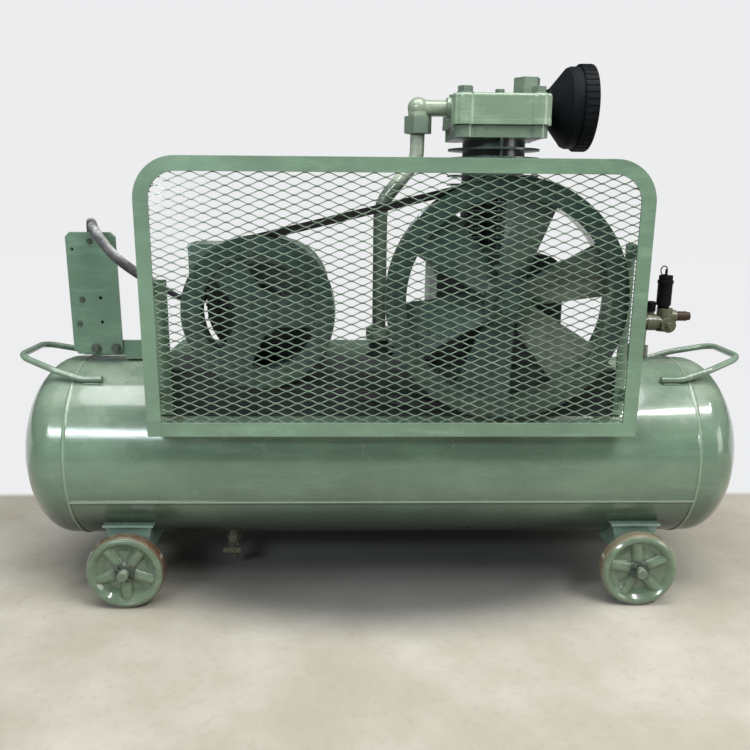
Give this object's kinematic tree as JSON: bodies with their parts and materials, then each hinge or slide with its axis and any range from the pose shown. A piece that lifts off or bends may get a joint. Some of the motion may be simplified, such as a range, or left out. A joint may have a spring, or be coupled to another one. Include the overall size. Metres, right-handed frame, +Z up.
{
  "type": "air compressor",
  "caption": "Belt-driven piston air compressor on a wheeled horizontal tank, with motor, flywheel, expanded-metal belt guard, intake filter and carrying handles.",
  "frame": {"origin": "on the floor under the middle of the machine", "axes": "+X along the tank towards the outlet cock, -Y towards the belt guard, +Z up"},
  "size_m": [1.14, 0.354, 0.815],
  "materials": {
    "tank_enamel": "semi-gloss",
    "wheel_enamel": "semi-gloss",
    "axle_steel": "worn",
    "cock_enamel": "worn",
    "motor_enamel": "satin",
    "winding_copper": "varnished",
    "bare_steel": "machined",
    "fan_plastic": "matte",
    "pulley_enamel": "painted, satin",
    "belt_rubber": "matte",
    "casting_enamel": "painted, semi-gloss",
    "fastener_enamel": "satin",
    "sight_glass": "clear",
    "piston_alloy": "machined",
    "ring_iron": "ground",
    "pipe_enamel": "semi-gloss",
    "black_plastic": "matte",
    "filter_foam": "foam",
    "nozzle_bronze": "satin",
    "guard_enamel": "semi-gloss",
    "mesh_enamel": "satin",
    "plate_enamel": "satin",
    "sleeve_grey": "dusty",
    "lead_black": "matte"
  },
  "bodies": {
    "chassis": {"axles": "axle_steel", "ball_bearings": "bare_steel", "bearing_cover": "casting_enamel", "check_valve": "cock_enamel", "crankcase": "casting_enamel", "crankcase_rear_cover": "casting_enamel", "cylinder": "casting_enamel", "cylinder_head": "casting_enamel", "discharge_elbow": "pipe_enamel", "discharge_pipe": "pipe_enamel", "drain_cock_body": "cock_enamel", "filter_element": "filter_foam", "guard_frame": "guard_enamel", "guard_mesh": "mesh_enamel", "guard_stays": "guard_enamel", "handle_left": "tank_enamel", "handle_right": "tank_enamel", "head_bolts": "fastener_enamel", "intake_filter_body": "black_plastic", "intake_filter_cover": "black_plastic", "lead_sleeve": "sleeve_grey", "legs": "tank_enamel", "machine_bed": "tank_enamel", "motor_end_shields": "motor_enamel", "motor_fan_cover": "motor_enamel", "motor_frame": "motor_enamel", "motor_lead": "lead_black", "motor_stator": "winding_copper", "oil_fittings": "sight_glass", "outlet_manifold": "cock_enamel", "outlet_nozzle": "nozzle_bronze", "outlet_port_cap": "black_plastic", "pipe_nuts": "fastener_enamel", "plate_bracket": "plate_enamel", "plate_fasteners": "fastener_enamel", "safety_valve_body": "black_plastic", "starter_box": "plate_enamel", "switch_plate": "plate_enamel", "tank_heads": "tank_enamel", "tank_shell": "tank_enamel", "terminal_box": "motor_enamel", "terminal_box_lid": "motor_enamel", "v_belt": "belt_rubber", "valve_plate": "casting_enamel", "wheel_retainers": "axle_steel"},
    "wheel_fl": {"wheel_front_left": "wheel_enamel"},
    "wheel_fr": {"wheel_front_right": "wheel_enamel"},
    "wheel_rl": {"wheel_rear_left": "wheel_enamel"},
    "wheel_rr": {"wheel_rear_right": "wheel_enamel"},
    "motor_shaft": {"motor_rotor": "bare_steel", "motor_fan": "fan_plastic", "motor_pulley": "pulley_enamel"},
    "crank": {"crankshaft": "bare_steel", "flywheel": "pulley_enamel"},
    "piston_assembly": {"piston": "piston_alloy", "piston_rings": "ring_iron"},
    "rod": {"connecting_rod": "bare_steel"},
    "outlet_spindle": {"outlet_cock_spindle": "cock_enamel"},
    "drain_key": {"drain_cock_key": "cock_enamel"},
    "safety_ring": {"safety_valve_ring": "black_plastic"}
  },
  "joints": [
    {"name": "wheel_fl_spin", "type": "hinge", "parent": "chassis", "child": "wheel_fl", "pos_m": [-0.394, -0.147, 0.059], "axis": [0, 1, 0], "continuous": true},
    {"name": "wheel_fr_spin", "type": "hinge", "parent": "chassis", "child": "wheel_fr", "pos_m": [0.394, -0.147, 0.059], "axis": [0, 1, 0], "continuous": true},
    {"name": "wheel_rl_spin", "type": "hinge", "parent": "chassis", "child": "wheel_rl", "pos_m": [-0.394, 0.147, 0.059], "axis": [0, 1, 0], "continuous": true},
    {"name": "wheel_rr_spin", "type": "hinge", "parent": "chassis", "child": "wheel_rr", "pos_m": [0.394, 0.147, 0.059], "axis": [0, 1, 0], "continuous": true},
    {"name": "crank_spin", "type": "hinge", "parent": "chassis", "child": "crank", "pos_m": [0.169, 0, 0.4755], "axis": [0, 1, 0], "continuous": true},
    {"name": "motor_spin", "type": "hinge", "parent": "chassis", "child": "motor_shaft", "pos_m": [-0.181, 0, 0.457], "axis": [0, 1, 0], "continuous": true},
    {"name": "piston_slide", "type": "slide", "parent": "chassis", "child": "piston_assembly", "axis": [0, 0, 1], "range_m": [-0.06, 0]},
    {"name": "rod_swing", "type": "hinge", "parent": "piston_assembly", "child": "rod", "pos_m": [0.169, 0.01, 0.6855], "axis": [0, 1, 0], "range_deg": [-9.6, 9.6]},
    {"name": "outlet_cock_turn", "type": "hinge", "parent": "chassis", "child": "outlet_spindle", "pos_m": [0.46, -0.02, 0.418], "axis": [0, 1, 0], "range_deg": [0, 90]},
    {"name": "drain_cock_turn", "type": "hinge", "parent": "chassis", "child": "drain_key", "pos_m": [-0.249, -0.025, 0.043], "axis": [0, 1, 0], "range_deg": [0, 90]},
    {"name": "safety_valve_pull", "type": "slide", "parent": "chassis", "child": "safety_ring", "axis": [0, 0, 1], "range_m": [0, 0.004], "stiffness_N_per_m": 2000}
  ],
  "couplings": [
    {"joint": "motor_spin", "follows": "crank_spin", "ratio": 1.6356}
  ]
}
